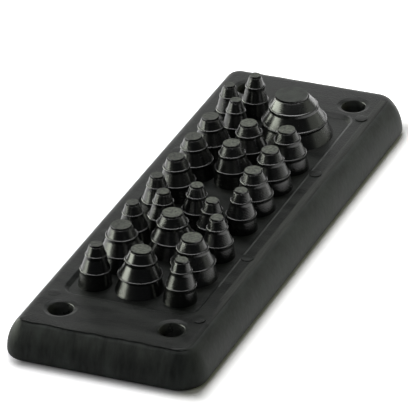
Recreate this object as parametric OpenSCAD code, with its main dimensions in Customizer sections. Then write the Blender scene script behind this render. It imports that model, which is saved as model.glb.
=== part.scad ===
// Cable entry plate: one soft rubber moulding that covers a rectangular panel cut-out.
// A thick border with four screw holes frames a sunken field of hollow stepped cones,
// and each cone is cut open at the step that suits its cable.
// Millimetres, +Z up, the long side along Y. The origin is the middle of the underside.

/* [Border] */
// Overall length, along Y, at the widest line of the side wall
plate_length = 155.8; // [152:0.2:180]
// Overall width, along X, at the widest line of the side wall
plate_width = 56.4; // [54:0.2:80]
// Height of the border's top face above the underside
plate_height = 11; // [9:0.5:16]
// How far the side wall swells out between the top edge and its widest line
side_swell = 3.8; // [1.5:0.1:5]
// Corner radius of the top face, seen from above
top_corner_radius = 1.8; // [0.5:0.1:4]
// Radius of the lower edge
lower_edge_radius = 1.6; // [0.5:0.1:2]

/* [Screw holes] */
// Spacing of the screw holes across the plate
hole_spacing_x = 32; // [28:0.5:34]
// Spacing of the screw holes along the plate
hole_spacing_y = 130; // [128:0.5:134]
// Diameter of the screw holes
hole_diameter = 6.4; // [4:0.1:7]
// Radius of the rounded edge of each hole
hole_edge_radius = 0.3; // [0.1:0.05:0.4]
// Diameter of the shallow dish round each hole
dish_diameter = 9.4; // [8.5:0.1:10]
// Depth of that dish
dish_depth = 0.2; // [0.1:0.05:0.4]

/* [Ejector pads] */
// Diameter of the low round pads that the mould's ejector pins leave
pad_diameter = 3.6; // [2:0.1:4]
// Height of the pads above the top face
pad_height = 0.25; // [0.1:0.05:0.5]
// Distance of the pads from the long middle line
pad_x = 21.3; // [21.2:0.1:22]
// Distance of the inner pads from the short middle line
inner_pad_y = 24.5; // [15:0.5:35]
// Distance of the outer pads from the short middle line
outer_pad_y = 58.4; // [52:0.2:59]

/* [Field] */
// Width of the sunken field that carries the cones
field_width = 38.4; // [36:0.2:39]
// Length of the sunken field
field_length = 114; // [113:0.5:116]
// Depth of the field below the border's top face
field_depth = 0.7; // [0.5:0.1:1.5]
// Corner radius of the field
field_corner = 4; // [2:0.5:6]
// Radius of the rounded edge above the field
field_edge_radius = 0.35; // [0.1:0.05:0.45]
// Thickness of the web that joins the cones
web_thickness = 3.6; // [2:0.2:6]
// Width of the pocket in the underside, as wide as the panel cut-out
pocket_width = 36; // [34:0.5:38]
// Length of that pocket
pocket_length = 112; // [111.5:0.5:114]
// Corner radius of that pocket
pocket_corner = 3; // [1:0.5:4]

/* [Cone steps] */
// Height of the tip step of every cone
tip_step = 3.1; // [2:0.1:5]
// Height of the middle step of every cone
middle_step = 4.3; // [3:0.1:6]
// Height of the lowest step of every cone
lowest_step = 4.5; // [3:0.1:7]
// Wall thickness of the cones
cone_wall = 1.1; // [0.8:0.05:1.2]
// Thickness of the closed skin at a cone's tip
tip_skin = 0.8; // [0.4:0.1:1.5]
// Radius of the round bead along each step's rim
bead_radius = 0.28; // [0.15:0.01:0.35]
// Width of the ledge between a step's flank and the outside of its bead
ledge_width = 0.55; // [0.5:0.05:0.8]
// How far each rim stands out over the step below it
rim_overhang = 0.42; // [0.36:0.02:0.6]
// Thickness of the small cap disc on each tip
cap_thickness = 0.3; // [0.2:0.05:0.6]
// How far the cap disc stands out over the flank below it
cap_overhang = 0.1; // [0.05:0.05:0.2]

/* [Cone sizes] */
// Radii of the slim cones at the tip, the upper rim, the lower rim and the foot
slim_cone = [1.65, 2.8, 3.8, 4.1]; // [1.5:0.05:12]
// Radii of the small cones, in the same order
small_cone = [1.78, 3, 4.25, 4.55]; // [1.5:0.05:12]
// Radii of the middle-sized cones, in the same order
middle_cone = [2.3, 3.75, 5.2, 5.55]; // [1.5:0.05:12]
// Radii of the large cones, in the same order
large_cone = [2.8, 4.4, 6.1, 6.9]; // [1.5:0.05:12]
// Radii of the one wide cone, in the same order
wide_cone = [4.65, 6.65, 9.1, 10.7]; // [1.5:0.05:12]

/* [Cone layout] */
// Middle of the front group along Y: four large cones in a diamond, small ones at its corners
diamond_y = -36.3; // [-38:0.1:-36]
// Half the diamond's width and half its length
diamond_reach = [10.3, 10.6]; // [10:0.1:11]
// Distance of the small corner cones from the middle of the diamond, across and along
diamond_corner = [12.35, 12.1]; // [12:0.05:13]
// Place along Y of the single cone in the middle of the zigzag row
zigzag_y = -9.8; // [-10.5:0.1:-9]
// Step of the zigzag from its middle cone to the next, across and back towards the front
zigzag_inner = [7.2, -6.3]; // [-8:0.1:8]
// Step of the zigzag from its middle cone to the outermost, across and along
zigzag_outer = [12.4, 1.4]; // [-2:0.1:13]
// Spacing of the grid of middle-sized cones, across and along
grid_pitch = [11.3, 12.15]; // [11.2:0.05:12.5]
// Middle row of that grid along Y
grid_y = 15.25; // [14:0.05:16]
// Place of the wide cone
wide_place = [5.9, 45.7]; // [5:0.1:46]
// Middle of the three slim cones beside it
slim_place = [-13.5, 45.6]; // [-14:0.1:46]
// Step from that slim cone to the two others, across and along
slim_step = [5.1, 7.7]; // [5:0.1:8]

/* [Hidden] */
$fn = 64;
rubber = [0.11, 0.115, 0.11];
// Overshoot of a cut past the face that it opens
past = 1;

// Corner centres of the border, and the reach of its wall outwards from them
border_reach = top_corner_radius + side_swell;
border_centre = [plate_width / 2 - border_reach, plate_length / 2 - border_reach];
// One arc carries the wall from the top edge down to the widest line, where it is upright
wall_rise = plate_height - lower_edge_radius;
wall_radius = (side_swell * side_swell + wall_rise * wall_rise) / (2 * side_swell);
field_centre = [field_width / 2 - field_corner, field_length / 2 - field_corner];

field_z = plate_height - field_depth;
web_z = field_z - web_thickness;
lower_rim_z = lowest_step;
upper_rim_z = lowest_step + middle_step;
cone_height = upper_rim_z + tip_step;
// The hollow widens a little towards its mouth so that it leaves the mould
mouth_draft = 0.1;

// Every cone as its size and its place on the field
CONES = concat(
    [for (side = [-1, 1]) [large_cone, [side * diamond_reach[0], diamond_y]]],
    [for (side = [-1, 1]) [large_cone, [0, diamond_y + side * diamond_reach[1]]]],
    [for (x = [-1, 1], y = [-1, 1])
        [small_cone, [x * diamond_corner[0], diamond_y + y * diamond_corner[1]]]],
    [[small_cone, [0, zigzag_y]]],
    [for (side = [-1, 1], step = [zigzag_inner, zigzag_outer])
        [small_cone, [side * step[0], zigzag_y + step[1]]]],
    // The grid's front row has no cone in the middle
    [for (column = [-1, 0, 1], row = [-1, 0, 1])
        if (column != 0 || row != -1)
            [middle_cone, [column * grid_pitch[0], grid_y + row * grid_pitch[1]]]],
    [[wide_cone, wide_place], [slim_cone, slim_place]],
    [for (side = [-1, 1])
        [slim_cone, [slim_place[0] + slim_step[0], slim_place[1] + side * slim_step[1]]]]
);

// Solid round-cornered block: its corner centres, its height and its edge section as a child
module round_block(centre, height) {
    translate([-centre[0], -centre[1], 0])
        cube([2 * centre[0], 2 * centre[1], height]);
    for (turn = [0, 180]) {
        rotate(turn) translate([centre[0], 0, 0]) edge_run(2 * centre[1]) children();
        rotate(turn + 90) translate([centre[1], 0, 0]) edge_run(2 * centre[0]) children();
    }
    for (x = [-1, 1], y = [-1, 1])
        translate([x * centre[0], y * centre[1], 0])
            rotate_extrude()
                children();
}

// Straight run of an edge section along Y, centred, standing outwards along +X
module edge_run(length) {
    translate([0, length / 2, 0])
        rotate([90, 0, 0])
            linear_extrude(length)
                children();
}

// Edge section of the border: a swelling wall above a rounded lower edge
module border_section() {
    intersection() {
        translate([border_reach - wall_radius, lower_edge_radius])
            circle(wall_radius, $fn = 256);
        translate([0, lower_edge_radius])
            square([border_reach, wall_rise]);
    }
    square([border_reach - lower_edge_radius, lower_edge_radius]);
    intersection() {
        translate([border_reach - lower_edge_radius, lower_edge_radius])
            circle(lower_edge_radius);
        square([border_reach, lower_edge_radius]);
    }
}

// Section of a cut whose upper edge rounds outwards into the face above it
module rounded_cut_section(reach, depth, radius) {
    difference() {
        square([reach + radius, depth + past]);
        translate([reach, -past])
            square([2 * radius, past + depth - radius]);
        translate([reach + radius, depth - radius])
            circle(radius, $fn = 32);
    }
}

// Cut that sinks the field into the border's top face
module field_cut() {
    translate([0, 0, field_z])
        round_block(field_centre, field_depth + past)
            rounded_cut_section(field_corner, field_depth, field_edge_radius);
}

// Cut of the pocket in the underside, below the web
module pocket_cut() {
    translate([0, 0, -past])
        round_block(
            [pocket_width / 2 - pocket_corner, pocket_length / 2 - pocket_corner],
            web_z + past
        )
            square([pocket_corner, web_z + past]);
}

// Screw hole with its rounded edge and shallow dish
module screw_hole_cut() {
    translate([0, 0, -past])
        rotate_extrude()
            rounded_cut_section(hole_diameter / 2, plate_height - dish_depth + past, hole_edge_radius);
    translate([0, 0, plate_height - dish_depth])
        cylinder(d1 = hole_diameter + 2 * hole_edge_radius, d2 = dish_diameter, h = dish_depth);
}

// Low round pad left by an ejector pin
module ejector_pad() {
    translate([0, 0, plate_height - past])
        cylinder(d = pad_diameter, h = past + pad_height);
}

// Half section of a cone's outside, rooted in the web, with a bead along each rim
module cone_section(size) {
    tip = size[0];
    upper = size[1];
    lower = size[2];
    foot = size[3];
    polygon([
        [0, -web_thickness / 2],
        [foot, -web_thickness / 2],
        [foot, 0],
        [lower - rim_overhang, lower_rim_z - bead_radius],
        [lower - bead_radius, lower_rim_z - bead_radius],
        [lower - bead_radius, lower_rim_z + bead_radius],
        [lower - ledge_width, lower_rim_z],
        [upper - rim_overhang, upper_rim_z - bead_radius],
        [upper - bead_radius, upper_rim_z - bead_radius],
        [upper - bead_radius, upper_rim_z + bead_radius],
        [upper - ledge_width, upper_rim_z],
        [tip - cap_overhang, cone_height - cap_thickness],
        [tip, cone_height - cap_thickness],
        [tip, cone_height],
        [0, cone_height]
    ]);
    translate([lower - bead_radius, lower_rim_z])
        circle(bead_radius, $fn = 24);
    translate([upper - bead_radius, upper_rim_z])
        circle(bead_radius, $fn = 24);
}

// Half section of the hollow inside a cone, from its mouth in the pocket up to the tip's skin
module hollow_section(size) {
    foot = size[3] - cone_wall;
    polygon([
        [0, -web_thickness - past],
        [foot + mouth_draft, -web_thickness - past],
        [foot, 0],
        [size[2] - rim_overhang - cone_wall, lower_rim_z - bead_radius],
        [size[1] - rim_overhang - cone_wall, upper_rim_z - bead_radius],
        [size[0] - cap_overhang - cone_wall / 2, cone_height - tip_skin],
        [0, cone_height - tip_skin]
    ]);
}

// The plate: border with its sunken field, cones and pads, then the cuts from below and the holes
module entry_plate() {
    color(rubber)
        difference() {
            union() {
                difference() {
                    round_block(border_centre, plate_height) border_section();
                    field_cut();
                }
                for (cone = CONES)
                    translate([cone[1][0], cone[1][1], field_z])
                        rotate_extrude()
                            cone_section(cone[0]);
                for (x = [-1, 1], y = [-outer_pad_y, -inner_pad_y, inner_pad_y, outer_pad_y])
                    translate([x * pad_x, y, 0])
                        ejector_pad();
            }
            pocket_cut();
            for (cone = CONES)
                translate([cone[1][0], cone[1][1], field_z])
                    rotate_extrude()
                        hollow_section(cone[0]);
            for (x = [-1, 1], y = [-1, 1])
                translate([x * hole_spacing_x / 2, y * hole_spacing_y / 2, 0])
                    screw_hole_cut();
        }
}

entry_plate();
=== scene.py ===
"""Studio scene of a cable entry plate: one black rubber moulding with a field of stepped cones.

Every form is a numpy surface in millimetres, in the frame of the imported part, and goes into
Blender in metres. The moulding is one closed skin: profiles carried round rectangles with round
corners, profiles turned about an axis, and flat faces that join their rims.
"""

from __future__ import annotations

import logging
import math
from dataclasses import dataclass, field
from enum import Enum

import bmesh
import bpy
import numpy as np
from mathutils import Matrix, Vector
from mathutils.geometry import delaunay_2d_cdt

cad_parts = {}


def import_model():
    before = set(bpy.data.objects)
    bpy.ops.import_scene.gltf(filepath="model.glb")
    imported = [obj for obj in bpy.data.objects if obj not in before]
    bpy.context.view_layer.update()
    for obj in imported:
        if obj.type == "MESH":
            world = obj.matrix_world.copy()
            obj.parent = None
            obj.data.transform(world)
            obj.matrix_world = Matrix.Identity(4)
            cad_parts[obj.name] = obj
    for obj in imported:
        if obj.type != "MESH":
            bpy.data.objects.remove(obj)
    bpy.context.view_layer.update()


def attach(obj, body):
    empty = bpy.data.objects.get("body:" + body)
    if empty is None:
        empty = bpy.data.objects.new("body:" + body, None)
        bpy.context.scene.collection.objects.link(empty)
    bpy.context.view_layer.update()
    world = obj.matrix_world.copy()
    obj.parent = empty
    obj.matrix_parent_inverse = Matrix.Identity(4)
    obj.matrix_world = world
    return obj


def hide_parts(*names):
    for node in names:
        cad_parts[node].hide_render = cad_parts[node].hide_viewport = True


log = logging.getLogger("entry_plate")

MM = 0.001
NODE = "entry_plate"
BODY = "root"
WELD = 0.001
FLAT_WELD = WELD / 10
INSIDE_LOOPS = 1
SHARP_ANGLE = math.radians(38.0)
QUARTER = 90.0
FEWEST_SEGMENTS = 32
SEGMENTS_PER_MM = 4

Pair = tuple[float, float]
Corner = tuple[float, float, float]
Spot = tuple[float, float, float]
Colour = tuple[float, float, float]
Source = bpy.types.NodeSocket | float | tuple[float, ...]

NO_SHIFT: Pair = (0.0, 0.0)
ORIGIN: Spot = (0.0, 0.0, 0.0)
WHITE: Colour = (1.0, 1.0, 1.0)
GREEN: Colour = (0.95, 1.0, 0.86)
OLIVE: Colour = (0.97, 1.0, 0.46)


def unit(vector: np.ndarray) -> np.ndarray:
    """The vector at length one."""
    return vector / np.linalg.norm(vector)


def added(*pairs: Pair) -> Pair:
    """The sum of some pairs, axis by axis."""
    return tuple(np.sum(pairs, axis=0))


def rounded_profile(corners: list[Corner], steps: int = 4) -> np.ndarray:
    """Polyline through corners, each rounded by an arc that touches both of its legs.

    The arc runs about its centre c from the touching point a to the touching point b as
    c + (sin((1 - t) w) (a - c) + sin(t w) (b - c)) / sin(w), where w is the corner's turn.

    Args:
        corners: Reach, height and rounding radius of each corner, in order.
        steps: Faces along each arc.

    Returns:
        Points as rows of reach and height.
    """
    share = np.linspace(0.0, 1.0, steps + 1)[:, None]
    runs = [np.array(corners[:1])[:, :2]]
    for before, here, after in zip(corners, corners[1:], corners[2:]):
        spot = np.array(here[:2])
        if here[2] == 0.0:
            runs.append(spot[None])
            continue
        back = unit(np.array(before[:2]) - spot)
        ahead = unit(np.array(after[:2]) - spot)
        turn = math.pi - math.acos(float(back @ ahead))
        leg = here[2] * math.tan(turn / 2)
        centre = spot + unit(back + ahead) * here[2] / math.cos(turn / 2)
        first = spot + leg * back - centre
        last = spot + leg * ahead - centre
        swing = np.sin((1 - share) * turn) * first + np.sin(share * turn) * last
        runs.append(centre + swing / math.sin(turn))
    runs.append(np.array(corners[-1:])[:, :2])
    return np.concatenate(runs)


def arc(centre: Pair, radius: float, start: float, end: float, steps: int) -> np.ndarray:
    """Points at even angles on a circle, from start to end in degrees."""
    angle = np.radians(np.linspace(start, end, steps + 1))
    return np.array(centre) + radius * np.stack([np.cos(angle), np.sin(angle)], axis=1)


def inside(spots: np.ndarray, loop: np.ndarray) -> np.ndarray:
    """Which spots lie inside a closed loop, by counting the edges that a ray along +X crosses.

    Args:
        spots: Points as rows of x and y.
        loop: Corners of the loop as rows of x and y.

    Returns:
        One truth value per spot.
    """
    after = np.roll(loop, -1, axis=0)
    x, y = spots[:, :1], spots[:, 1:]
    spans = (loop[:, 1] > y) != (after[:, 1] > y)
    rise = np.where(after[:, 1] == loop[:, 1], 1.0, after[:, 1] - loop[:, 1])
    crossing = loop[:, 0] + (y - loop[:, 1]) * (after[:, 0] - loop[:, 0]) / rise
    return (spans & (x < crossing)).sum(axis=1) % 2 == 1


def turned(profile: np.ndarray, place: Pair, segments: int) -> np.ndarray:
    """Turns a profile about an upright axis: (x + r cos a, y + r sin a, height).

    Args:
        profile: Rows of radius and height.
        place: The axis, as x and y.
        segments: Faces round the axis.

    Returns:
        Points by profile row, angle and axis.
    """
    angle = np.linspace(0.0, 2 * math.pi, segments, endpoint=False)
    x = place[0] + profile[:, :1] * np.cos(angle)
    y = place[1] + profile[:, :1] * np.sin(angle)
    level = np.repeat(profile[:, 1:], segments, axis=1)
    return np.stack([x, y, level], axis=2)


def weld(mesh: bpy.types.Mesh) -> None:
    """Merges points that lie together, which closes seams and poles.

    Args:
        mesh: The mesh, which is changed in place.
    """
    work = bmesh.new()
    work.from_mesh(mesh)
    bmesh.ops.remove_doubles(work, verts=work.verts, dist=WELD * MM)
    work.to_mesh(mesh)
    work.free()


class Finish(Enum):
    """Which finish a patch of the moulding has, as its place in the list of materials."""

    PLATE = 0
    WALL = 1
    CONE = 2
    TIP = 3
    # Paler finish whose tone paints light into the screw holes, which lie in deep shade.
    BORE = 4
    # Paler finish that paints a highlight along the field's right edge.
    EDGE_HIGHLIGHT = 5
    # Paler, streaky finish that paints a highlight along the border's right top edge.
    BRINK_HIGHLIGHT = 6
    CAP = 7


class ConeSize(Enum):
    """Sizes of cones: radii of the tip, upper rim, lower rim, foot and beads, inset and tuck."""

    SLIM = (1.84, 2.8, 3.8, 4.25, 0.24, 0.06, 0.1)
    SMALL = (1.96, 2.97, 4.27, 4.62, 0.24, 0.06, 0.1)
    MIDDLE = (2.55, 3.8, 5.2, 5.65, 0.25, 0.14, 0.25)
    LARGE = (2.98, 4.4, 6.15, 6.7, 0.25, 0.18, 0.72)
    WIDE = (5.0, 6.95, 9.25, 10.85, 0.34, 0.06, 0.3)

    def __init__(self, *sizes: float) -> None:
        """Names the values.

        Args:
            sizes: Radii of the tip, upper rim, lower rim, foot and beads, then how far the flanks
                beside the rims lie inside them and how far the lowest flank's top does.
        """
        self.tip, self.upper, self.lower, self.foot = sizes[:4]
        self.bead, self.inset, self.tuck = sizes[4:]

    def segments(self) -> int:
        """Faces round the cone, more on a wider one."""
        return FEWEST_SEGMENTS + SEGMENTS_PER_MM * round(self.foot)

    def tip_finish(self) -> Finish:
        """Finish of the tip's disc, which is smoother on the wide cone."""
        return Finish.CAP if self is ConeSize.WIDE else Finish.TIP


@dataclass
class Skin:
    """Patches of one moulded surface, gathered as arrays and welded into one mesh."""

    points: list[np.ndarray] = field(default_factory=list)
    faces: list[np.ndarray] = field(default_factory=list)
    finishes: list[np.ndarray] = field(default_factory=list)
    count: int = 0

    def add(self, points: np.ndarray, faces: np.ndarray, finishes: np.ndarray | int) -> None:
        """Adds one patch, whose faces all have as many corners.

        Args:
            points: The patch's points as rows.
            faces: Places of each face's corners in those rows.
            finishes: The value of one finish, or of one per face.
        """
        self.points.append(points)
        self.faces.append(faces + self.count)
        self.finishes.append(np.broadcast_to(finishes, len(faces)))
        self.count += len(points)

    def add_grid(
        self,
        grid: np.ndarray,
        finish: Finish,
        painted_highlight: np.ndarray | None = None,
        painted_highlight_finish: Finish = Finish.EDGE_HIGHLIGHT,
    ) -> None:
        """Adds a grid of rows that close on themselves, facing outwards where rows go out or down.

        Args:
            grid: Points by row, column and axis.
            finish: The patch's finish.
            painted_highlight: Which faces paint a highlight with a paler finish, by row and
                column.
            painted_highlight_finish: The finish of those faces.
        """
        rows, columns = grid.shape[:2]
        index = np.arange(rows * columns).reshape(rows, columns)
        ahead = np.roll(index, -1, axis=1)
        corners = (index[:-1], index[1:], ahead[1:], ahead[:-1])
        finishes = finish.value
        if painted_highlight is not None:
            finishes = np.where(painted_highlight, painted_highlight_finish.value, finish.value).ravel()
        self.add(grid.reshape(-1, 3), np.stack(corners, axis=-1).reshape(-1, 4), finishes)

    def add_flat(self, rim: np.ndarray, holes: list[np.ndarray], facing: int) -> None:
        """Adds a level face inside a rim and outside its holes, as a constrained triangulation.

        Args:
            rim: Points of the outer loop.
            holes: Points of each loop that the face leaves open.
            facing: 1 for a face that looks up and -1 for one that looks down.
        """
        loops = [rim, *holes]
        sizes = [len(loop) for loop in loops]
        starts = np.cumsum([0, *sizes[:-1]])
        edges = np.concatenate([
            start + np.stack([np.arange(size), (np.arange(size) + 1) % size], axis=1)
            for start, size in zip(starts, sizes)
        ])
        spots = np.concatenate(loops)[:, :2]
        made = delaunay_2d_cdt(spots.tolist(), edges.tolist(), [], INSIDE_LOOPS, FLAT_WELD)
        flat = np.array(made[0], float)
        triangles = np.array(made[2])
        middles = flat[triangles].mean(axis=1)
        kept = inside(middles, rim)
        for hole in holes:
            kept &= ~inside(middles, hole)
        triangles = triangles[kept]
        legs = flat[triangles[:, 1:]] - flat[triangles[:, :1]]
        turns = legs[:, 0, 0] * legs[:, 1, 1] - legs[:, 0, 1] * legs[:, 1, 0]
        wrong = turns * facing < 0
        triangles[wrong] = triangles[wrong][:, ::-1]
        level = np.full((len(flat), 1), rim[0, 2])
        self.add(np.concatenate([flat, level], axis=1), triangles, Finish.PLATE.value)

    def build(self, name: str, materials: list[bpy.types.Material]) -> bpy.types.Object:
        """Welds the patches into one smooth mesh with sharp creases.

        Args:
            name: The object's name.
            materials: Materials in the order of Finish.

        Returns:
            The new object, at the origin.
        """
        points = np.concatenate(self.points) * MM
        corners = np.concatenate([faces.ravel() for faces in self.faces])
        sizes = np.concatenate([np.full(len(faces), faces.shape[1]) for faces in self.faces])
        mesh = bpy.data.meshes.new(name)
        mesh.vertices.add(len(points))
        mesh.vertices.foreach_set("co", points.astype(np.float32).ravel())
        mesh.loops.add(len(corners))
        mesh.loops.foreach_set("vertex_index", corners.astype(np.int32))
        mesh.polygons.add(len(sizes))
        starts = np.cumsum(sizes) - sizes
        mesh.polygons.foreach_set("loop_start", starts.astype(np.int32))
        finishes = np.concatenate(self.finishes)
        for material in materials:
            mesh.materials.append(material)
        mesh.polygons.foreach_set("material_index", finishes.astype(np.int32))
        mesh.update(calc_edges=True)
        weld(mesh)
        mesh.polygons.foreach_set("use_smooth", np.ones(len(mesh.polygons), bool))
        mesh.set_sharp_from_angle(angle=SHARP_ANGLE)
        piece = bpy.data.objects.new(name, mesh)
        bpy.context.scene.collection.objects.link(piece)
        return piece


@dataclass(frozen=True)
class RoundPath:
    """Closed path round a rectangle with round corners, against the clock from above.

    The corners come in the order front right, back right, back left and front left. Each may
    have extra radius, which moves its centre inwards and its stations' reach out by as much.
    """

    half: Pair
    spacing: float
    extra: tuple[float, ...] = (0.0, 0.0, 0.0, 0.0)
    corner_steps: int = 10

    def stations(self) -> tuple[np.ndarray, np.ndarray]:
        """Stations along the path.

        A side's stations slide along the line between two corner centres with one normal. A
        corner's stations stay at its centre while the normal swings through a quarter turn.

        Returns:
            Each station's foot and extra reach, as rows of x, y and reach, and its outward
            normal, as rows of x and y.
        """
        signs = np.array([(1, -1), (1, 1), (-1, 1), (-1, -1)])
        extra = np.array(self.extra)[:, None]
        corners = np.concatenate([signs * (np.array(self.half) - extra), extra], axis=1)
        feet = []
        angles = []
        for side, start in enumerate(corners):
            end = corners[(side + 1) % len(corners)]
            count = max(1, math.ceil(np.linalg.norm(end - start) / self.spacing))
            share = np.arange(count)[:, None] / count
            feet.append(start + share * (end - start))
            angles.append(np.full(count, side * QUARTER))
            feet.append(np.tile(end, (self.corner_steps, 1)))
            angles.append(QUARTER * (side + np.arange(self.corner_steps) / self.corner_steps))
        turn = np.radians(np.concatenate(angles))
        return np.concatenate(feet), np.stack([np.cos(turn), np.sin(turn)], axis=1)

    def sweep(self, profile: np.ndarray) -> np.ndarray:
        """Carries a profile round the path: foot plus reach times normal, at each height.

        Args:
            profile: Reach and height by row, or by row and station where it changes on the way.

        Returns:
            Points by profile row, station and axis.
        """
        feet, normals = self.stations()
        if profile.ndim == 2:
            profile = np.repeat(profile[:, None], len(feet), axis=1)
        flat = feet[None, :, :2] + (profile[:, :, :1] + feet[None, :, 2:]) * normals[None]
        return np.concatenate([flat, profile[:, :, 1:]], axis=2)


@dataclass(frozen=True)
class TrimLine:
    """The trimmed flash along the top edge: a lip that wavers, over a fine shadow groove."""

    lip: float = 0.18
    waver: float = 0.2
    groove: float = 0.45
    lip_height: float = 0.2
    groove_height: float = 0.42
    wave_step: float = 2.6
    wave_reach: float = 1.0
    usual: float = 0.35
    front_gain: float = 0.65
    right_loss: float = 0.5
    seed: int = 11

    def strength(self, normals: np.ndarray) -> np.ndarray:
        """How strongly the line shows: fully at the front, weakly at the left, not at the right.

        Args:
            normals: Outward normal of each station.

        Returns:
            A share from 0 to 1 for each station.
        """
        front = np.clip(-normals[:, 1], 0.0, 1.0)
        right = np.clip(normals[:, 0], 0.0, 1.0)
        return np.clip(self.usual + self.front_gain * front - self.right_loss * right, 0.0, 1.0)

    def offsets(self, feet: np.ndarray, normals: np.ndarray) -> np.ndarray:
        """How far the lip stands out at each station: random knots joined by straight runs.

        Args:
            feet: Foot and extra reach of each station.
            normals: Outward normal of each station.

        Returns:
            One offset per station, in millimetres.
        """
        spots = feet[:, :2] + (self.wave_reach + feet[:, 2:]) * normals
        steps = np.linalg.norm(np.diff(spots, axis=0, append=spots[:1]), axis=1)
        along = np.cumsum(steps) - steps[0]
        knots = np.arange(0.0, along[-1] + 2 * self.wave_step, self.wave_step)
        heights = np.random.default_rng(self.seed).uniform(-1.0, 1.0, len(knots))
        return self.waver * np.interp(along, knots, heights)


@dataclass(frozen=True)
class Border:
    """The thick border: its wall, top face, underside, screw holes and trim line."""

    length: float = 155.8
    width: float = 56.4
    height: float = 11.0
    swell: float = 3.8
    top_corner: float = 1.8
    corner_extra: tuple[float, ...] = (2.2, 2.2, 0.8, 0.0)
    lower_edge: float = 1.6
    lower_steps: int = 8
    crease: float = 0.06
    soft_drop: float = 0.9
    soft_reach: float = 2.3
    wall_drop_factor: float = 1.2
    # Where the right top edge takes its painted highlight: start along y, taper per row, how
    # squarely a face must look right.
    highlight_start: float = -60.0
    highlight_taper: float = 6.0
    highlight_facing: float = 0.99
    support: float = 0.5
    spacing: float = 0.9
    wall_steps: int = 14
    hole_spacing: Pair = (32.0, 130.0)
    hole_radius: float = 3.2
    hole_round: float = 0.35
    mouth: Pair = (0.32, 1.4)
    dish_radius: float = 4.7
    dish_depth: float = 0.35
    dish_round: float = 0.3
    hole_segments: int = 56
    bore_rows: int = 14
    trim: TrimLine = TrimLine()
    lip_rows: tuple[int, int] = (2, 5)

    @property
    def reach(self) -> float:
        """How far the wall's widest line lies outside the path."""
        return self.top_corner + self.swell

    def path(self) -> RoundPath:
        """Path through the corner centres of the border."""
        half = (self.width / 2 - self.reach, self.length / 2 - self.reach)
        return RoundPath(half, self.spacing, self.corner_extra)

    def wall_rows(self, start: float) -> np.ndarray:
        """The wall's arc from a height down to the widest line, where it is upright.

        The arc's radius is (swell squared plus rise squared) over twice the swell.

        Args:
            start: The height at which the arc starts.

        Returns:
            Rows of reach and height.
        """
        rise = self.height - self.lower_edge
        radius = (self.swell**2 + rise**2) / (2 * self.swell)
        angle = math.degrees(math.asin((start - self.lower_edge) / radius))
        return arc((self.reach - radius, self.lower_edge), radius, angle, 0.0, self.wall_steps)

    def trimmed_edge(self) -> np.ndarray:
        """Top edge with the lip and the groove of the trim line.

        Returns:
            Rows of reach and height.
        """
        edge = self.top_corner
        lip_low = self.height - self.trim.lip_height
        return np.array([
            (edge - 2 * self.support, self.height),
            (edge - self.support, self.height),
            (edge - self.crease, self.height),
            (edge, self.height - self.crease),
            (edge, lip_low),
            (edge - self.trim.groove / 2, lip_low - self.crease / 2),
        ])

    def soft_edge(self) -> np.ndarray:
        """Top edge rounded over from the top face into the wall, in as many rows.

        It is the curve (1 - t) squared times the inner point, plus 2 t (1 - t) times the edge,
        plus t squared times the point on the wall.

        Returns:
            Rows of reach and height.
        """
        below = self.wall_rows(self.height - self.soft_drop)[0]
        turn = np.array([self.top_corner, self.height])
        inner = np.array([self.top_corner - self.soft_reach, self.height])
        share = np.linspace(0.0, 1.0, len(self.trimmed_edge()))[:, None]
        return (1 - share) ** 2 * inner + 2 * share * (1 - share) * turn + share**2 * below

    def wall(self) -> np.ndarray:
        """The border's outside, from the top face over its edge and the wall to the underside.

        Returns:
            Points by profile row, station and axis.
        """
        trim = self.trim
        path = self.path()
        feet, normals = path.stations()
        strength = trim.strength(normals)
        inset = self.reach - self.lower_edge
        lower_middle = (inset, self.lower_edge)
        lower = arc(lower_middle, self.lower_edge, 0.0, -QUARTER, self.lower_steps)[1:]
        foot = np.array([(inset - self.support, 0.0)])
        sharp_wall = self.wall_rows(self.height - trim.groove_height - trim.lip_height)
        soft_wall = self.wall_rows(self.height - self.wall_drop_factor * self.soft_drop)
        sharp = np.concatenate([self.trimmed_edge(), sharp_wall, lower, foot])[:, None]
        soft = np.concatenate([self.soft_edge(), soft_wall, lower, foot])[:, None]
        share = strength[None, :, None]
        rows = share * sharp + (1 - share) * soft
        lip = strength * (trim.lip + trim.offsets(feet, normals))
        rows[slice(*self.lip_rows), :, 0] += lip
        return path.sweep(rows)

    def painted_highlight_edge(self, rows: np.ndarray) -> np.ndarray:
        """Which top edge faces take a paler painted highlight: the right side's, tapered at the
        front.

        Args:
            rows: The edge's points by profile row, station and axis.

        Returns:
            One truth value per row and station.
        """
        normals = self.path().stations()[1]
        starts = self.highlight_start + self.highlight_taper * np.arange(len(rows) - 1)[::-1]
        return (rows[0, :, 1] > starts[:, None]) & (normals[:, 0] > self.highlight_facing)

    def hole_section(self) -> np.ndarray:
        """Half section of a screw hole, from the underside up over its dish.

        Returns:
            Rows of radius and height.
        """
        rim = self.height - self.dish_depth
        return rounded_profile([
            (self.hole_radius + self.support, 0.0, 0.0),
            (self.hole_radius, 0.0, self.hole_round / 2),
            (self.hole_radius, rim - self.mouth[1], self.hole_round),
            (self.hole_radius + self.mouth[0], rim, self.hole_round),
            (self.dish_radius, self.height, self.dish_round),
            (self.dish_radius + self.support, self.height, 0.0),
        ])

    def holes(self) -> list[np.ndarray]:
        """The four screw holes.

        Returns:
            A grid of points for each hole.
        """
        x, y = self.hole_spacing
        section = self.hole_section()
        places = [(i * x / 2, j * y / 2) for i in (-1, 1) for j in (-1, 1)]
        return [turned(section, place, self.hole_segments) for place in places]


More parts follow.
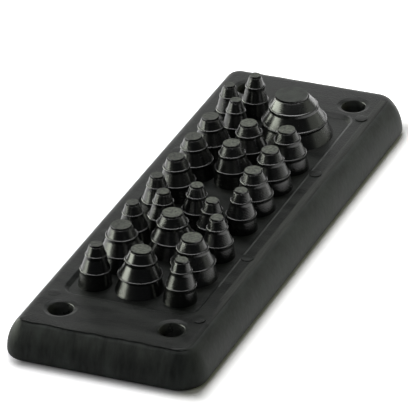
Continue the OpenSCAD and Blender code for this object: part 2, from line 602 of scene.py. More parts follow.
@dataclass(frozen=True)
class Field:
    """The sunken field above the web, and the pocket below it."""

    width: float = 37.8
    length: float = 115.2
    shift: Pair = (-0.3, 0.6)
    depth: float = 0.7
    corner: float = 4.0
    edge_round: float = 0.6
    edge_row: int = 8
    # Where along y the painted highlight on the recess's right edge starts.
    highlight_start: float = -46.0
    root_round: float = 0.1
    steep: float = 0.3
    gentle: float = 1.5
    left_share: float = 0.7
    web: float = 3.6
    pocket_width: float = 36.0
    pocket_length: float = 112.0
    pocket_corner: float = 3.0
    pocket_rounds: Pair = (0.2, 0.4)
    support: float = 0.3
    spacing: float = 6.0

    def path(self, width: float, length: float, corner: float) -> RoundPath:
        """Path through the corner centres of a rectangle."""
        return RoundPath((width / 2 - corner, length / 2 - corner), self.spacing)

    def recess(self, top: float) -> np.ndarray:
        """Wall of the field from its floor up over its rounded edge.

        It slopes gently at the back and on the left, and steeply elsewhere.

        Args:
            top: Height of the border's top face.

        Returns:
            Points by profile row, station and axis.
        """
        floor = top - self.depth
        path = self.path(self.width, self.length, self.corner)
        normals = path.stations()[1]
        sloped = np.clip(np.maximum(normals[:, 1], -self.left_share * normals[:, 0]), 0.0, 1.0)
        sections = []
        for slope in (self.steep, self.gentle):
            sections.append(rounded_profile([
                (self.corner - slope / 2 - self.support, floor, 0.0),
                (self.corner - slope / 2, floor, self.root_round),
                (self.corner + slope / 2, top, self.edge_round),
                (self.corner + slope / 2 + 2 * self.support, top, 0.0),
            ]))
        share = sloped[None, :, None]
        grid = path.sweep((1 - share) * sections[0][:, None] + share * sections[1][:, None])
        return grid + np.array((*self.shift, 0.0))

    def painted_highlight_edge(self, recess: np.ndarray) -> np.ndarray:
        """Which faces of the recess's edge take a paler painted highlight: the top rows of the
        right side.

        Args:
            recess: The recess's points by profile row, station and axis.

        Returns:
            One truth value per row and station.
        """
        upper = np.arange(len(recess) - 1) >= self.edge_row
        right = recess[-1, :, 0] > self.shift[0] + self.width / 2 - self.corner / 4
        behind = recess[-1, :, 1] > self.highlight_start
        return upper[:, None] & (right & behind)[None]

    def room(self, place: Pair) -> float:
        """Widest radius about a place that stays on the pocket's flat ceiling, with a margin."""
        ceiling = np.array((self.pocket_width, self.pocket_length)) / 2 - 2 * self.support
        return float(np.min(ceiling - np.abs(place))) - self.support / 3

    def pocket(self, ceiling: float) -> np.ndarray:
        """Wall of the pocket from the underside up to the web.

        Args:
            ceiling: Height of the web's lower face.

        Returns:
            Points by profile row, station and axis.
        """
        corner = self.pocket_corner
        section = rounded_profile([
            (corner + self.support, 0.0, 0.0),
            (corner, 0.0, self.pocket_rounds[0]),
            (corner, ceiling, self.pocket_rounds[1]),
            (corner - 2 * self.support, ceiling, 0.0),
        ])
        return self.path(self.pocket_width, self.pocket_length, corner).sweep(section)


@dataclass(frozen=True)
class Cone:
    """One hollow stepped cone: its size, place and lean, and how far its tip is off the middle."""

    size: ConeSize
    place: Pair
    lean: Pair = NO_SHIFT
    rise: float = 0.0
    tip_shift: Pair = NO_SHIFT


@dataclass(frozen=True)
class ConeSteps:
    """What all cones share: step heights, beads, caps and walls."""

    tip_step: float = 3.1
    middle_step: float = 4.3
    lowest_step: float = 4.5
    wall: float = 1.1
    tip_skin: float = 0.8
    band: float = 0.8
    crest_end: float = -8.0
    crest_steps: int = 8
    tip_bead: float = 0.08
    tip_arc: Pair = (160.0, 10.0)
    tip_steps: int = 6
    tip_groove: Pair = (0.1, 0.8)
    plug_rise: float = 0.55
    mouth_draft: float = 0.1
    mouth_round: float = 0.3
    shift_power: float = 5.0
    flank_shares: tuple[float, ...] = (0.0, 0.05, 0.35, 0.65, 0.95, 1.0)

    @property
    def height(self) -> float:
        """Height of a cone above the field."""
        return self.tip_step + self.middle_step + self.lowest_step

    def flank(self, start: np.ndarray, end: np.ndarray) -> np.ndarray:
        """Points down a flank, closer together near its ends to keep the flank straight."""
        share = np.array(self.flank_shares)[:, None]
        return (1 - share) * start + share * end

    def rim(self, radius: float, level: float, size: ConeSize, tuck: float) -> np.ndarray:
        """Round bead along a step's rim, and the upright band below it down to the next flank.

        Args:
            radius: The rim's widest radius.
            level: Height of the bead's middle.
            size: The cone's size.
            tuck: How far inside the rim the next flank starts.

        Returns:
            Rows of radius and height.
        """
        start = QUARTER + math.degrees(math.asin(size.inset / size.bead))
        middle = (radius - size.bead, level)
        crest = arc(middle, size.bead, start, self.crest_end, self.crest_steps)
        below = np.array([(radius - tuck, level - self.band)])
        return np.concatenate([crest, below])

    def outside(self, size: ConeSize, rise: float) -> np.ndarray:
        """Half section of the outside from the cap's edge down to the foot.

        Args:
            size: The cone's size.
            rise: How much higher than usual the tip was cut, along the same flank.

        Returns:
            Rows of radius and height.
        """
        tip = size.tip - rise * (size.upper - size.tip) / self.tip_step
        upper_level = self.lowest_step + self.middle_step
        top = self.height + rise
        groove = tip - 2 * self.tip_bead - self.tip_groove[0]
        edge = np.array([(groove, top), (groove, top - self.tip_groove[1])])
        crest_middle = (tip - self.tip_bead, top - self.plug_rise - self.tip_bead)
        crest = arc(crest_middle, self.tip_bead, *self.tip_arc, self.tip_steps)
        upper_rim = self.rim(size.upper, upper_level, size, size.inset)
        lower_rim = self.rim(size.lower, self.lowest_step, size, size.tuck)
        foot = np.array([(size.foot, 0.0)])
        rows = np.concatenate([edge, crest])
        for ring in (upper_rim, lower_rim, foot):
            rows = np.concatenate([rows, self.flank(rows[-1], ring[0])[1:], ring[1:]])
        return rows

    def hollow(self, size: ConeSize, web: float, room: float) -> np.ndarray:
        """Half section of the hollow from the web's lower face up to the tip's skin.

        Args:
            size: The cone's size.
            web: Thickness of the web.
            room: Widest radius that the mouth may have.

        Returns:
            Rows of radius and height.
        """
        lower = self.lowest_step - self.band
        upper = lower + self.middle_step
        inset = size.tuck + size.bead + self.wall
        flare = 2 * self.mouth_round
        mouth = min(size.foot - self.wall + self.mouth_draft, room - flare)
        foot = mouth - self.mouth_draft
        return rounded_profile([
            (mouth + flare, -web, 0.0),
            (mouth, -web, self.mouth_round),
            (foot, 0.0, 0.0),
            (min(size.lower - inset, foot), lower, 0.0),
            (min(size.upper - inset, foot), upper, 0.0),
            (size.tip - self.wall, self.height - self.tip_skin, self.mouth_round),
            (0.0, self.height - self.tip_skin, 0.0),
        ])

    def bent(self, grid: np.ndarray, cone: Cone) -> np.ndarray:
        """Leans a cone over: the higher a point, the more it shifts and tilts about the foot.

        The shift of the tip alone grows as a power of the height, and it keeps the tip level.

        Args:
            grid: Points by row, angle and axis, with the foot at height zero.
            cone: The cone with its place and lean.

        Returns:
            The grid after the lean.
        """
        share = np.clip(grid[:, :, 2] / self.height, 0.0, None)
        lean = np.array(cone.lean)
        tilt = (grid[:, :, :2] - np.array(cone.place)) @ lean / self.height
        moved = grid.copy()
        moved[:, :, :2] += share[:, :, None] * lean
        moved[:, :, :2] += share[:, :, None] ** self.shift_power * np.array(cone.tip_shift)
        moved[:, :, 2] -= share * tilt
        return moved


@dataclass(frozen=True)
class ConeLayout:
    """Where the cones stand on the field."""

    diamond: Pair = (-0.13, -36.8)
    diamond_reach: Pair = (10.3, 10.6)
    diamond_corner: Pair = (12.35, 12.1)
    front_nudge: Pair = (-0.6, -0.4)
    front_lean: Pair = (0.6, 0.8)
    zigzag: Pair = (-0.15, -10.3)
    zigzag_inner: Pair = (7.2, -6.3)
    zigzag_outer: Pair = (12.4, 1.4)
    zigzag_lean: Pair = (0.35, 0.15)
    grid: Pair = (0.28, 14.85)
    grid_pitch: Pair = (11.45, 12.15)
    grid_lean: Pair = (-0.3, -0.15)
    wide: Pair = (5.95, 45.45)
    wide_shift: Pair = (-0.65, 0.3)
    slim: Pair = (-13.9, 45.15)
    slim_front: Pair = (5.2, -7.65)
    slim_rear: Pair = (4.75, 7.6)
    slim_lean: Pair = (0.4, 0.2)
    back_rise: float = 0.25

    def diamond_cones(self) -> list[Cone]:
        """Four large cones and four small ones at their corners, the front three leaning back.

        Returns:
            The eight cones.
        """
        across, along = self.diamond_reach
        large = [(-across, 0.0), (across, 0.0), (0.0, -along), (0.0, along)]
        across, along = self.diamond_corner
        small = [(x, y) for x in (-across, across) for y in (-along, along)]
        made = []
        for size, steps in ((ConeSize.LARGE, large), (ConeSize.SMALL, small)):
            for step in steps:
                front = step[1] < 0.0
                nudge = self.front_nudge if front else NO_SHIFT
                lean = self.front_lean if front else NO_SHIFT
                made.append(Cone(size, added(self.diamond, step, nudge), lean))
        return made

    def zigzag_cones(self) -> list[Cone]:
        """Five small cones in a zigzag row.

        Returns:
            The five cones.
        """
        steps = [NO_SHIFT]
        for side in (-1, 1):
            steps += [(side * x, y) for x, y in (self.zigzag_inner, self.zigzag_outer)]
        places = [added(self.zigzag, step) for step in steps]
        return [Cone(ConeSize.SMALL, place, self.zigzag_lean) for place in places]

    def grid_cones(self) -> list[Cone]:
        """Eight middle cones in three columns, the middle column without its front one.

        Returns:
            The eight cones.
        """
        cells = [(i, j) for i in (-1, 0, 1) for j in (-1, 0, 1) if (i, j) != (0, -1)]
        steps = np.array(cells) * self.grid_pitch
        places = [added(self.grid, step) for step in steps]
        return [Cone(ConeSize.MIDDLE, place, self.grid_lean) for place in places]

    def back_cones(self) -> list[Cone]:
        """The wide cone and the three slim ones beside it.

        Returns:
            The four cones.
        """
        wide = Cone(ConeSize.WIDE, self.wide, rise=self.back_rise, tip_shift=self.wide_shift)
        steps = (NO_SHIFT, self.slim_front, self.slim_rear)
        places = [added(self.slim, step) for step in steps]
        slim = [Cone(ConeSize.SLIM, place, self.slim_lean, self.back_rise) for place in places]
        return [wide, *slim]

    def cones(self) -> list[Cone]:
        """Every cone, group by group from the front to the back."""
        front = [*self.diamond_cones(), *self.zigzag_cones()]
        return [*front, *self.grid_cones(), *self.back_cones()]


@dataclass(frozen=True)
class EjectorPads:
    """Low round pads that the mould's ejector pins leave on the border."""

    diameter: float = 3.6
    rise: float = 0.22
    left_rise: float = 0.06
    inner: Pair = (20.6, 24.5)
    outer: Pair = (21.0, 58.4)
    sunk: float = 0.4
    edge_round: float = 0.08
    segments: int = 40

    def section(self, top: float, rise: float) -> np.ndarray:
        """Half section of a pad from its middle over its edge to its sunken base.

        Args:
            top: Height of the border's top face.
            rise: How far the pad stands above that face.

        Returns:
            Rows of radius and height.
        """
        radius = self.diameter / 2
        return rounded_profile([
            (0.0, top + rise, 0.0),
            (radius, top + rise, min(self.edge_round, rise)),
            (radius, top - self.sunk, 0.0),
            (0.0, top - self.sunk, 0.0),
        ])

    def build(self, top: float, materials: list[bpy.types.Material]) -> bpy.types.Object:
        """Builds the pads as closed discs that stand in the top face, lower on the left.

        Args:
            top: Height of the border's top face.
            materials: Materials in the order of Finish.

        Returns:
            One object with all pads.
        """
        skin = Skin()
        for side, rise in ((-1, self.left_rise), (1, self.rise)):
            section = self.section(top, rise)
            for x, y in (self.inner, self.outer):
                for end in (-1, 1):
                    grid = turned(section, (side * x, end * y), self.segments)
                    skin.add_grid(grid, Finish.PLATE)
        return skin.build("ejector_pads", materials)


@dataclass
class EntryPlate:
    """The moulding: border, field and cones in one closed skin."""

    border: Border = field(default_factory=Border)
    field_form: Field = field(default_factory=Field)
    steps: ConeSteps = field(default_factory=ConeSteps)
    layout: ConeLayout = field(default_factory=ConeLayout)

    def add_cones(self, skin: Skin, floor: float) -> tuple[list[np.ndarray], list[np.ndarray]]:
        """Adds every cone's outside, tip disc and hollow to the skin.

        Args:
            skin: The skin that takes the patches.
            floor: Height of the field.

        Returns:
            The feet on the field and the mouths in the web, as loops of points.
        """
        feet = []
        mouths = []
        lift = np.array((0.0, 0.0, floor))
        for cone in self.layout.cones():
            outside = self.steps.outside(cone.size, cone.rise)
            centre = np.array([(0.0, outside[0, 1])])
            disc = np.concatenate([centre, outside[:1]])
            room = self.field_form.room(cone.place)
            hollow = self.steps.hollow(cone.size, self.field_form.web, room)
            shells = []
            for section in (disc, outside, hollow):
                grid = turned(section, cone.place, cone.size.segments())
                shells.append(self.steps.bent(grid, cone) + lift)
            skin.add_grid(shells[0], cone.size.tip_finish())
            skin.add_grid(shells[1], Finish.CONE)
            skin.add_grid(shells[2], Finish.PLATE)
            feet.append(shells[1][-1])
            mouths.append(shells[2][0])
        return feet, mouths

    def build(self, materials: list[bpy.types.Material]) -> bpy.types.Object:
        """Builds the closed skin.

        Args:
            materials: Materials in the order of Finish.

        Returns:
            The moulding as one object.
        """
        skin = Skin()
        top = self.border.height
        floor = top - self.field_form.depth
        wall = self.border.wall()
        holes = self.border.holes()
        recess = self.field_form.recess(top)
        pocket = self.field_form.pocket(floor - self.field_form.web)
        edge = self.border.lip_rows[0] + 1
        brink = wall[: edge + 1]
        # The border's right top edge is paler: a painted highlight.
        skin.add_grid(brink, Finish.PLATE, self.border.painted_highlight_edge(brink), Finish.BRINK_HIGHLIGHT)
        skin.add_grid(wall[edge:], Finish.WALL)
        # The recess's right edge is paler: a painted highlight.
        skin.add_grid(recess, Finish.PLATE, self.field_form.painted_highlight_edge(recess))
        skin.add_grid(pocket, Finish.PLATE)
        for hole in holes:
            skin.add_grid(hole[: self.border.bore_rows], Finish.BORE)
            skin.add_grid(hole[self.border.bore_rows - 1 :], Finish.PLATE)
        feet, mouths = self.add_cones(skin, floor)
        skin.add_flat(wall[0], [recess[-1], *(hole[-1] for hole in holes)], 1)
        skin.add_flat(recess[0], feet, 1)
        skin.add_flat(pocket[-1], mouths, -1)
        skin.add_flat(wall[-1], [pocket[0], *(hole[0] for hole in holes)], -1)
        return skin.build("moulding", materials)


@dataclass(frozen=True)
class Nodes:
    """A node tree that is filled one node at a time."""

    tree: bpy.types.NodeTree

    @classmethod
    def of_material(cls, material: bpy.types.Material) -> Nodes:
        """The nodes of a material, which start as one Principled BSDF and its output."""
        material.use_nodes = True
        return cls(material.node_tree)

    @classmethod
    def of_group(cls, name: str, takes: dict[str, str], gives: dict[str, str]) -> Nodes:
        """The nodes of a new group, which has its sockets and nothing else.

        Args:
            name: The group's name.
            takes: Kind of each input by name.
            gives: Kind of each output by name.

        Returns:
            The group, still without nodes.
        """
        tree = bpy.data.node_groups.new(name, "ShaderNodeTree")
        for way, sockets in (("INPUT", takes), ("OUTPUT", gives)):
            for socket, kind in sockets.items():
                full_kind = f"NodeSocket{kind}"
                tree.interface.new_socket(name=socket, in_out=way, socket_type=full_kind)
        return cls(tree)

    def fill(self, node: bpy.types.Node, inputs: dict[str | int, Source]) -> None:
        """Gives a node's inputs their values and links.

        Args:
            node: A node of this tree.
            inputs: A value, or the socket to link from, for each input by name or place.
        """
        for key, source in inputs.items():
            if isinstance(source, bpy.types.NodeSocket):
                self.tree.links.new(source, node.inputs[key])
            else:
                node.inputs[key].default_value = source

    def add(
        self, kind: str, inputs: dict[str | int, Source], **choices: str | bpy.types.NodeTree
    ) -> bpy.types.bpy_prop_collection:
        """Adds a shader node.

        Args:
            kind: The node's type without its prefix.
            inputs: A value, or the socket to link from, for each input by name or place.
            choices: The node's other settings by name.

        Returns:
            The node's outputs.
        """
        node = self.tree.nodes.new(f"ShaderNode{kind}")
        for name, choice in choices.items():
            setattr(node, name, choice)
        self.fill(node, inputs)
        return node.outputs

    def math(self, operation: str, *sources: Source) -> bpy.types.NodeSocket:
        """Adds a calculation with single values, and gives its result."""
        return self.add("Math", dict(enumerate(sources)), operation=operation)["Value"]

    def vector(self, operation: str, *sources: Source) -> bpy.types.NodeSocket:
        """Adds a calculation with vectors, and gives its result."""
        return self.add("VectorMath", dict(enumerate(sources)), operation=operation)["Vector"]

    def starts(self) -> bpy.types.bpy_prop_collection:
        """The sockets through which a group takes its inputs."""
        return self.tree.nodes.new("NodeGroupInput").outputs

    def ends(self, inputs: dict[str | int, Source]) -> bpy.types.NodeTree:
        """Links a group's outputs and hands the group over."""
        self.fill(self.tree.nodes.new("NodeGroupOutput"), inputs)
        return self.tree

    def shade(self, inputs: dict[str | int, Source]) -> None:
        """Fills in the Principled BSDF of a material."""
        self.fill(self.tree.nodes["Principled BSDF"], inputs)


@dataclass(frozen=True)
class RubberGroups:
    """Node groups that the rubber finishes share, with the values that hold for all of them."""

    blotch_detail: float = 5.0
    blotch_break: float = 0.62
    blotch_range: Pair = (0.32, 0.7)
    grain_detail: float = 3.0
    # Span in x, in metres, over which the painted shade on the left fades out.
    painted_shade_range: Pair = (-0.011, -0.004)

    def mottle(self) -> bpy.types.NodeTree:
        """Group of soft blotches in tone and gloss, a fine grain, and a painted shade towards the
        left.

        Returns:
            A group from Object coordinates to a colour, a roughness and a grain height.
        """
        takes = {"Vector": "Vector", "Stretch": "Vector", "Dark": "Color", "Pale": "Color"}
        for name in ("Smooth", "Rough", "Blotch Scale", "Grain Scale", "Left Painted Shade"):
            takes[name] = "Float"
        gives = {"Colour": "Color", "Roughness": "Float", "Grain": "Float"}
        nodes = Nodes.of_group("moulding_mottle", takes, gives)
        start = nodes.starts()
        blotch = nodes.add("TexNoise", {
            "Vector": nodes.vector("MULTIPLY", start["Vector"], start["Stretch"]),
            "Scale": start["Blotch Scale"],
            "Detail": self.blotch_detail,
            "Roughness": self.blotch_break,
        })
        contrast = nodes.add("MapRange", {
            "Value": blotch["Fac"],
            "From Min": self.blotch_range[0],
            "From Max": self.blotch_range[1],
        })["Result"]
        ends = {"Factor": contrast, "A": start["Dark"], "B": start["Pale"]}
        tone = nodes.add("Mix", ends, data_type="RGBA")
        # Painted shade: the tone is scaled down towards the left side.
        across = nodes.add("MapRange", {
            "Value": nodes.add("SeparateXYZ", {"Vector": start["Vector"]})["X"],
            "From Min": self.painted_shade_range[0],
            "From Max": self.painted_shade_range[1],
            "To Min": start["Left Painted Shade"],
            "To Max": 1.0,
        })
        dimmed = {0: tone["Result"], "Scale": across["Result"]}
        grain = nodes.add("TexNoise", {
            "Vector": start["Vector"],
            "Scale": start["Grain Scale"],
            "Detail": self.grain_detail,
        })
        gloss = nodes.add("MapRange", {
            "Value": contrast,
            "To Min": start["Smooth"],
            "To Max": start["Rough"],
        })
        return nodes.ends({
            "Colour": nodes.add("VectorMath", dimmed, operation="SCALE")["Vector"],
            "Roughness": gloss["Result"],
            "Grain": grain["Fac"],
        })

    def rings(self) -> bpy.types.NodeTree:
        """Group of fine level rings, the print of a turned mould: a sine of the height.

        Returns:
            A group from Object coordinates to a height.
        """
        takes = {"Vector": "Vector", "Pitch": "Float"}
        nodes = Nodes.of_group("turned_rings", takes, {"Height": "Float"})
        start = nodes.starts()
        axes = nodes.add("SeparateXYZ", {"Vector": start["Vector"]})
        turns = nodes.math("DIVIDE", axes["Z"], start["Pitch"])
        angle = nodes.math("MULTIPLY", turns, 2 * math.pi)
        return nodes.ends({"Height": nodes.math("SINE", angle)})


@dataclass(frozen=True)
class RubberFinish:
    """One finish of the black rubber: its tones, gloss and fine relief."""

    name: str
    dark: Colour
    pale: Colour
    roughness: Pair
    shine: float
    blotch_scale: float
    grain_depth: float
    grain_scale: float = 2600.0
    stretch: Spot = (1.0, 1.0, 1.0)
    ring_depth: float = 0.0
    ring_pitch: float = 0.0004
    # Share of the tone kept on the left side, a painted shade; 1 for none.
    left_painted_shade: float = 1.0

    def material(
        self, mottle: bpy.types.NodeTree, rings: bpy.types.NodeTree
    ) -> bpy.types.Material:
        """Makes the material from the shared groups and this finish's values.

        Args:
            mottle: The group of blotches and grain.
            rings: The group of level rings.

        Returns:
            The new material.
        """
        made = bpy.data.materials.new(self.name)
        nodes = Nodes.of_material(made)
        where = nodes.add("TexCoord", {})["Object"]
        values = {
            "Vector": where,
            "Stretch": self.stretch,
            "Dark": (*self.dark, 1.0),
            "Pale": (*self.pale, 1.0),
            "Smooth": self.roughness[0],
            "Rough": self.roughness[1],
            "Blotch Scale": self.blotch_scale,
            "Grain Scale": self.grain_scale,
            "Left Painted Shade": self.left_painted_shade,
        }
        tones = nodes.add("Group", values, node_tree=mottle)
        pitch = {"Vector": where, "Pitch": self.ring_pitch}
        prints = nodes.add("Group", pitch, node_tree=rings)
        grain = nodes.add("Bump", {
            "Strength": 1.0,
            "Distance": self.grain_depth * MM,
            "Height": tones["Grain"],
        })
        relief = nodes.add("Bump", {
            "Strength": 1.0,
            "Distance": self.ring_depth * MM,
            "Height": prints["Height"],
            "Normal": grain["Normal"],
        })
        nodes.shade({
            "Base Color": tones["Colour"],
            "Roughness": tones["Roughness"],
            "Specular IOR Level": self.shine,
            "Normal": relief["Normal"],
        })
        return made


def rubber_finishes() -> list[RubberFinish]:
    """The finishes of the moulding.

    Returns:
        One finish for each member of Finish, in its order.
    """
    return [
        RubberFinish(
            name="satin_rubber",
            dark=(0.005, 0.0058, 0.0052),
            pale=(0.022, 0.0245, 0.022),
            roughness=(0.28, 0.46),
            shine=0.08,
            blotch_scale=260.0,
            grain_depth=0.09,
            stretch=(0.18, 1.0, 1.0),
        ),
        RubberFinish(
            name="drawn_rubber",
            dark=(0.017, 0.019, 0.0178),
            pale=(0.044, 0.05, 0.0465),
            roughness=(0.4, 0.55),
            shine=0.15,
            blotch_scale=320.0,
            grain_depth=0.07,
            grain_scale=700.0,
            stretch=(1.0, 0.3, 0.25),
        ),
        RubberFinish(
            name="polished_rubber",
            dark=(0.002, 0.0022, 0.002),
            pale=(0.005, 0.0055, 0.005),
            roughness=(0.2, 0.3),
            shine=0.8,
            blotch_scale=140.0,
            grain_depth=0.02,
            ring_depth=0.005,
            ring_pitch=0.00042,
        ),
        RubberFinish(
            name="tip_rubber",
            dark=(0.0, 0.0, 0.0),
            pale=(0.14, 0.156, 0.118),
            roughness=(0.5, 0.66),
            shine=0.2,
            blotch_scale=1300.0,
            grain_depth=0.14,
            grain_scale=2400.0,
            # Painted shade: tips on the left side keep less than half their tone.
            left_painted_shade=0.45,
        ),
        # The bore's paler tone is painted light on the holes' inner walls.
        RubberFinish(
            name="bore_painted_light_rubber",
            dark=(0.03, 0.033, 0.03),
            pale=(0.06, 0.064, 0.06),
            roughness=(0.25, 0.35),
            shine=0.6,
            blotch_scale=300.0,
            grain_depth=0.04,
            ring_depth=0.01,
            ring_pitch=0.0006,
        ),
        # Paler finish that paints a highlight along the field's right edge.
        RubberFinish(
            name="edge_highlight_rubber",
            dark=(0.02, 0.022, 0.02),
            pale=(0.07, 0.074, 0.07),
            roughness=(0.4, 0.5),
            shine=0.2,
            blotch_scale=300.0,
            grain_depth=0.04,
        ),
        # Paler, streaky finish that paints a highlight along the right top edge.
        RubberFinish(
            name="brink_highlight_rubber",
            dark=(0.004, 0.0045, 0.0038),
            pale=(0.042, 0.046, 0.039),
            roughness=(0.36, 0.5),
            shine=0.12,
            blotch_scale=900.0,
            grain_depth=0.06,
            stretch=(1.0, 0.05, 1.0),
        ),
        RubberFinish(
            name="cap_rubber",
            dark=(0.014, 0.0165, 0.0135),
            pale=(0.04, 0.0465, 0.0385),
            roughness=(0.4, 0.5),
            shine=0.1,
            blotch_scale=300.0,
            grain_depth=0.05,
        ),
    ]


@dataclass(frozen=True)
class SoftBox:
    """A soft lamp that looks at the plate: its place, size and how bright its face is."""

    name: str
    place: Spot
    size: Pair
    radiance: float
    colour: Colour = WHITE
    diffuse: bool = True
    glossy: bool = True

    def build(self, target: Spot) -> None:
        """Makes the lamp. Its power is radiance times pi times its area.

        Without diffuse light it is a reflector card that only shows in glossy surfaces, and
        without glossy light it is a fill that shows in none.

        Args:
            target: The spot that the lamp looks at.
        """
        lamp = bpy.data.lights.new(self.name, "AREA")
        lamp.shape = "RECTANGLE"
        lamp.size, lamp.size_y = self.size
        lamp.energy = self.radiance * math.pi * self.size[0] * self.size[1]
        lamp.color = self.colour
        made = bpy.data.objects.new(self.name, lamp)
        made.location = self.place
        made.visible_diffuse = self.diffuse
        made.visible_glossy = self.glossy
        made.visible_camera = False
        aim = Vector(target) - Vector(self.place)
        made.rotation_euler = aim.to_track_quat("-Z", "Y").to_euler()
        bpy.context.scene.collection.objects.link(made)


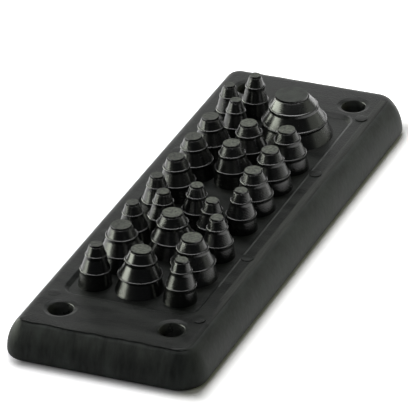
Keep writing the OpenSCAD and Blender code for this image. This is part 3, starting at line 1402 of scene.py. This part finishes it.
@dataclass(frozen=True)
class Studio:
    """Pale floor, soft lamps, dim world and the camera at the photograph's angle."""

    lamp_target: Spot = (0.0, 0.0, 0.01)
    floor_size: float = 12.0
    floor_level: float = -0.00005
    floor_tone: Colour = (0.93, 0.93, 0.94)
    floor_rough: float = 0.9
    floor_lift: Pair = (0.0, 0.7)
    lift_reach: float = 0.006
    # Box round which the floor's glow fades out: a painted shadow band beside the plate, over the
    # lamps' own shadow.
    shaded_half: Spot = (0.0245, 0.0762, 0.0)
    shaded_shift: Spot = (0.003, -0.0002, 0.0)
    # Tone and span of the painted dark reflection in front of the plate.
    painted_reflection_tone: Colour = (0.03, 0.03, 0.03)
    painted_reflection_end: float = -0.06
    painted_reflection_start: float = -0.1
    world_tone: Colour = (0.9, 0.95, 1.0)
    world_strength: float = 0.05
    azimuth: float = 24.0
    elevation: float = 29.98
    roll: float = -2.2
    distance: float = 1330.77
    aim_right: float = -2.594
    aim_up: float = 9.258
    lens: float = 427.3
    sensor: float = 36.0

    def lamps(self) -> list[SoftBox]:
        """The lamps, fills and reflector cards round the plate.

        Returns:
            Every lamp, with its place and size in metres.
        """
        return [
            SoftBox("overhead", (-0.25, 0.45, 1.05), (0.6, 0.6), 7.0),
            SoftBox("back_panel", (-0.14, 0.3, 0.08), (0.7, 0.15), 2.1),
            SoftBox("front_fill", (-0.3, -0.9, 0.7), (0.8, 0.8), 0.56, glossy=False),
            SoftBox("right_fill", (0.9, 0.45, 0.45), (1.0, 0.7), 0.62, OLIVE, glossy=False),
            SoftBox("right_sheen", (0.8, 0.4, 0.4), (0.9, 0.62), 0.58, GREEN, diffuse=False),
            SoftBox("top_card", (-0.1, 0.15, 0.85), (1.0, 1.0), 2.4, diffuse=False),
            SoftBox("left_card", (-0.9, -0.1, 0.3), (1.4, 0.56), 7.0, GREEN, diffuse=False),
            SoftBox("right_card", (0.25, 0.42, 0.08), (0.37, 0.14), 0.4, GREEN, diffuse=False),
        ]

    def floor_material(self) -> bpy.types.Material:
        """Pale floor that lights itself a little for the rays that look at it.

        The light fades out under the plate and close round it. That keeps the lamps' shadow there
        and paints a shadow band beside the plate, along its front, right and back. In glossy
        reflections the floor is dark in front of the plate, a painted dark reflection as if a
        black card lay there.

        Returns:
            The floor's material.
        """
        made = bpy.data.materials.new("pale_floor")
        nodes = Nodes.of_material(made)
        rays = nodes.add("LightPath", {})
        where = nodes.add("TexCoord", {})["Object"]
        # Painted dark reflection: glossy rays see the floor dark in front of the plate.
        in_front = nodes.add("MapRange", {
            "Value": nodes.add("SeparateXYZ", {"Vector": where})["Y"],
            "From Min": self.painted_reflection_end,
            "From Max": self.painted_reflection_start,
        })
        card = nodes.math("MULTIPLY", in_front["Result"], rays["Is Glossy Ray"])
        ends = {"Factor": card, "A": (*self.floor_tone, 1.0), "B": (*self.painted_reflection_tone, 1.0)}
        tone = nodes.add("Mix", ends, data_type="RGBA")
        straight = nodes.math("ADD", rays["Is Camera Ray"], rays["Is Transmission Ray"])
        mirrored = nodes.math("SUBTRACT", rays["Is Glossy Ray"], card)
        seen = nodes.math("ADD", straight, mirrored)
        # Painted shadow: the glow fades out near a box shifted to the right, darkening the floor
        # along the plate's front, right and back.
        shifted = nodes.vector("SUBTRACT", where, self.shaded_shift)
        either_side = nodes.vector("ABSOLUTE", shifted)
        beyond = nodes.vector("SUBTRACT", either_side, self.shaded_half)
        outside = nodes.vector("MAXIMUM", beyond, ORIGIN)
        away = nodes.add("VectorMath", {0: outside}, operation="LENGTH")
        reach = {
            "Value": away["Value"],
            "From Max": self.lift_reach,
            "To Min": self.floor_lift[0],
            "To Max": self.floor_lift[1],
        }
        fade = nodes.add("MapRange", reach, interpolation_type="SMOOTHSTEP")
        nodes.shade({
            "Base Color": tone["Result"],
            "Roughness": self.floor_rough,
            "Specular IOR Level": 0.0,
            "Emission Color": (*WHITE, 1.0),
            "Emission Strength": nodes.math("MULTIPLY", seen, fade["Result"]),
        })
        return made

    def build_floor(self) -> None:
        """Makes the floor, a hair below the plate's underside."""
        half = self.floor_size / 2
        mesh = bpy.data.meshes.new("floor")
        corners = [(-half, -half), (half, -half), (half, half), (-half, half)]
        mesh.from_pydata([(x, y, self.floor_level) for x, y in corners], [], [(0, 1, 2, 3)])
        mesh.materials.append(self.floor_material())
        floor = bpy.data.objects.new("floor", mesh)
        bpy.context.scene.collection.objects.link(floor)

    def build_world(self) -> None:
        """Sets the dim, even light that comes from all round."""
        world = bpy.data.worlds.new("studio")
        world.use_nodes = True
        sky = world.node_tree.nodes["Background"]
        sky.inputs["Color"].default_value = (*self.world_tone, 1.0)
        sky.inputs["Strength"].default_value = self.world_strength
        bpy.context.scene.world = world

    def build_camera(self) -> None:
        """Places the camera: back along azimuth and elevation, turned by the roll, then aimed."""
        azimuth = math.radians(self.azimuth)
        elevation = math.radians(self.elevation)
        roll = math.radians(self.roll)
        back = Vector((
            math.sin(azimuth) * math.cos(elevation),
            -math.cos(azimuth) * math.cos(elevation),
            math.sin(elevation),
        ))
        level = Vector((math.cos(azimuth), math.sin(azimuth), 0.0))
        upright = back.cross(level)
        right = level * math.cos(roll) + upright * math.sin(roll)
        up = upright * math.cos(roll) - level * math.sin(roll)
        place = back * self.distance * MM
        target = (right * self.aim_right + up * self.aim_up) * MM
        axis = (place - target).normalized()
        right = (right - axis * right.dot(axis)).normalized()
        data = bpy.data.cameras.new("camera")
        data.lens = self.lens
        data.sensor_width = self.sensor
        camera = bpy.data.objects.new("camera", data)
        turn = Matrix((right, axis.cross(right), axis)).transposed()
        camera.matrix_world = Matrix.Translation(place) @ turn.to_4x4()
        bpy.context.scene.collection.objects.link(camera)
        bpy.context.scene.camera = camera

    def build(self) -> None:
        """Builds the whole studio."""
        bpy.context.scene.view_settings.view_transform = "Standard"
        self.build_camera()
        self.build_floor()
        self.build_world()
        for lamp in self.lamps():
            lamp.build(self.lamp_target)


def dress(piece: bpy.types.Object) -> None:
    """Makes a piece ride with the plate and stand for its node, whose part is hidden.

    Args:
        piece: A piece of the moulding.
    """
    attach(piece, BODY)
    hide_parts(NODE)
    log.info("%s: %d faces", piece.name, len(piece.data.polygons))


def main() -> None:
    """Builds the studio and the plate."""
    logging.basicConfig(level=logging.INFO)
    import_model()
    Studio().build()
    groups = RubberGroups()
    shared = (groups.mottle(), groups.rings())
    materials = [finish.material(*shared) for finish in rubber_finishes()]
    plate = EntryPlate()
    dress(plate.build(materials))
    dress(EjectorPads().build(plate.border.height, materials))


if __name__ == "__main__":
    main()
